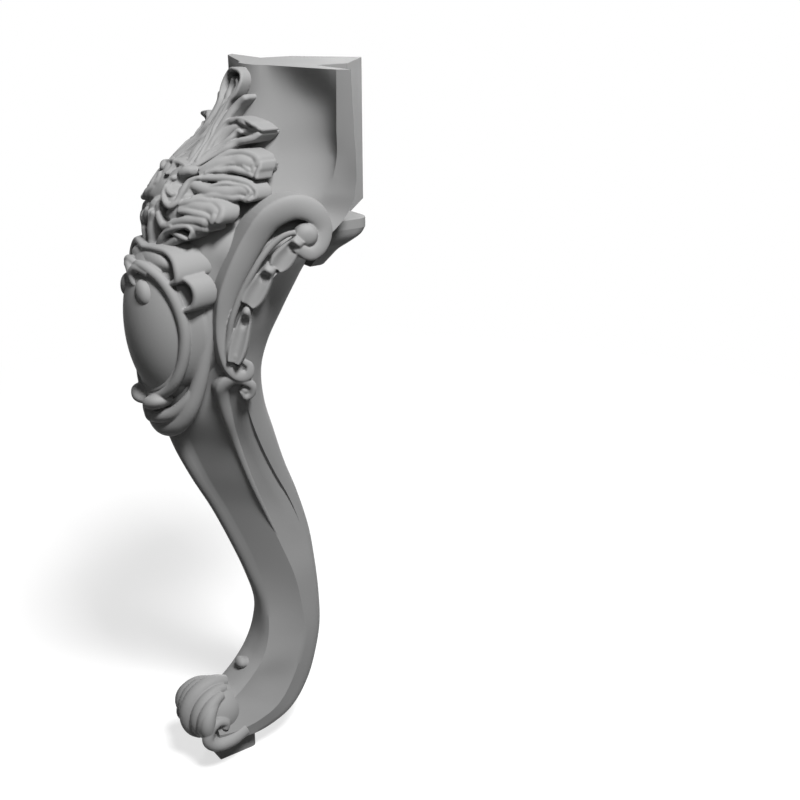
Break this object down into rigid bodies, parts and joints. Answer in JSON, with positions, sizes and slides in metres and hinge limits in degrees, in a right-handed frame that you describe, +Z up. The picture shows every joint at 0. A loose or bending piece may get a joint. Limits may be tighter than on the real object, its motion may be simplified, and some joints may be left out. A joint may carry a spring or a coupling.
{
  "type": "furniture leg",
  "caption": "Carved cabriole table leg with a corner post, flat-backed wings, C-scrolls, acanthus leaves, an oval cabochon on the knee and a leafy scroll foot.",
  "frame": {"origin": "on the top face, on the axis of the square post", "axes": "+Z up towards the table top, -Y towards the carved knee, +X to the side"},
  "size_m": [0.228, 0.2605, 0.72],
  "materials": {
    "painted_wood": "satin grey paint on carved hardwood"
  },
  "bodies": {
    "root": {"carved_leg": "painted_wood"}
  },
  "joints": []
}
